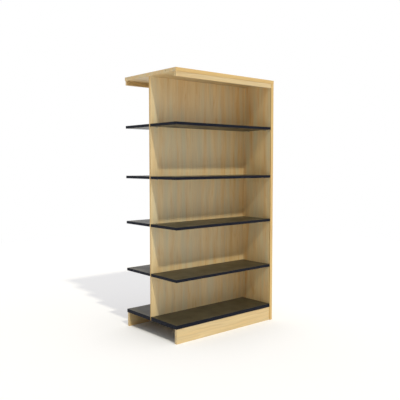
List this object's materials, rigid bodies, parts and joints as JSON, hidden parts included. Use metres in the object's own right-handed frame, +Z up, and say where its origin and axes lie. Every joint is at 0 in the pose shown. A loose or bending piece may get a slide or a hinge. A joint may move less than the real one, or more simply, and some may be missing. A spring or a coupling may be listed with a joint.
{
  "type": "library shelving bay",
  "caption": "Double sided wooden library shelving, add-on bay: end panel, canopy with fascias, thin centre divider, kick base and loose black shelves on pins; the other end is open.",
  "frame": {"origin": "on the floor, under the middle of the whole (end panel included)", "axes": "+X along the bay from the open joining plane to the end panel, -Y out of the front face, +Y out of the back face, +Z up"},
  "size_m": [0.9398, 0.5968, 1.8288],
  "materials": {
    "veneer": "satin clear lacquer on pale maple veneer",
    "solid_edge": "satin clear lacquer on solid maple",
    "frame_wood": "unfinished sawn wood",
    "black_laminate": "black satin laminate on board",
    "black_band": "black plastic edge band",
    "nickel": "nickel plated",
    "zinc": "zinc plated"
  },
  "bodies": {
    "carcass": {"base_cleat_back": "frame_wood", "base_cleat_front": "frame_wood", "base_rail_left": "frame_wood", "base_rail_right": "frame_wood", "base_shelf_back": "black_laminate", "base_shelf_band_back": "black_band", "base_shelf_band_front": "black_band", "base_shelf_front": "black_laminate", "cam_bolts": "zinc", "cam_locks": "zinc", "canopy_dowels": "frame_wood", "divider_band": "solid_edge", "divider_panel": "veneer", "end_panel": "veneer", "end_panel_lipping_back": "solid_edge", "end_panel_lipping_front": "solid_edge", "fascia_back": "veneer", "fascia_front": "veneer", "kick_back": "veneer", "kick_front": "veneer", "leveller_block_back": "frame_wood", "leveller_block_front": "frame_wood", "shelf_pins_1_back": "nickel", "shelf_pins_1_front": "nickel", "shelf_pins_2_back": "nickel", "shelf_pins_2_front": "nickel", "shelf_pins_3_back": "nickel", "shelf_pins_3_front": "nickel", "shelf_pins_4_back": "nickel", "shelf_pins_4_front": "nickel", "top_band_back": "solid_edge", "top_band_end": "solid_edge", "top_band_front": "solid_edge", "top_board": "veneer"},
    "shelf_1_front": {"shelf_1_front": "black_laminate", "shelf_band_1_front": "black_band"},
    "shelf_1_back": {"shelf_1_back": "black_laminate", "shelf_band_1_back": "black_band"},
    "shelf_2_front": {"shelf_2_front": "black_laminate", "shelf_band_2_front": "black_band"},
    "shelf_2_back": {"shelf_2_back": "black_laminate", "shelf_band_2_back": "black_band"},
    "shelf_3_front": {"shelf_3_front": "black_laminate", "shelf_band_3_front": "black_band"},
    "shelf_3_back": {"shelf_3_back": "black_laminate", "shelf_band_3_back": "black_band"},
    "shelf_4_front": {"shelf_4_front": "black_laminate", "shelf_band_4_front": "black_band"},
    "shelf_4_back": {"shelf_4_back": "black_laminate", "shelf_band_4_back": "black_band"},
    "leveller_panel_front": {"leveller_panel_front": "zinc"},
    "leveller_panel_back": {"leveller_panel_back": "zinc"},
    "leveller_left_front": {"leveller_left_front": "zinc"},
    "leveller_left_back": {"leveller_left_back": "zinc"}
  },
  "joints": [
    {"name": "shelf_1_front_out", "type": "slide", "parent": "carcass", "child": "shelf_1_front", "axis": [0, -1, 0], "range_m": [0, 0.3]},
    {"name": "shelf_1_back_out", "type": "slide", "parent": "carcass", "child": "shelf_1_back", "axis": [0, 1, 0], "range_m": [0, 0.3]},
    {"name": "shelf_2_front_out", "type": "slide", "parent": "carcass", "child": "shelf_2_front", "axis": [0, -1, 0], "range_m": [0, 0.3]},
    {"name": "shelf_2_back_out", "type": "slide", "parent": "carcass", "child": "shelf_2_back", "axis": [0, 1, 0], "range_m": [0, 0.3]},
    {"name": "shelf_3_front_out", "type": "slide", "parent": "carcass", "child": "shelf_3_front", "axis": [0, -1, 0], "range_m": [0, 0.3]},
    {"name": "shelf_3_back_out", "type": "slide", "parent": "carcass", "child": "shelf_3_back", "axis": [0, 1, 0], "range_m": [0, 0.3]},
    {"name": "shelf_4_front_out", "type": "slide", "parent": "carcass", "child": "shelf_4_front", "axis": [0, -1, 0], "range_m": [0, 0.3]},
    {"name": "shelf_4_back_out", "type": "slide", "parent": "carcass", "child": "shelf_4_back", "axis": [0, 1, 0], "range_m": [0, 0.3]},
    {"name": "leveller_panel_front_down", "type": "slide", "parent": "carcass", "child": "leveller_panel_front", "axis": [0, 0, -1], "range_m": [0, 0.012]},
    {"name": "leveller_panel_back_down", "type": "slide", "parent": "carcass", "child": "leveller_panel_back", "axis": [0, 0, -1], "range_m": [0, 0.012]},
    {"name": "leveller_left_front_down", "type": "slide", "parent": "carcass", "child": "leveller_left_front", "axis": [0, 0, -1], "range_m": [0, 0.012]},
    {"name": "leveller_left_back_down", "type": "slide", "parent": "carcass", "child": "leveller_left_back", "axis": [0, 0, -1], "range_m": [0, 0.012]}
  ]
}
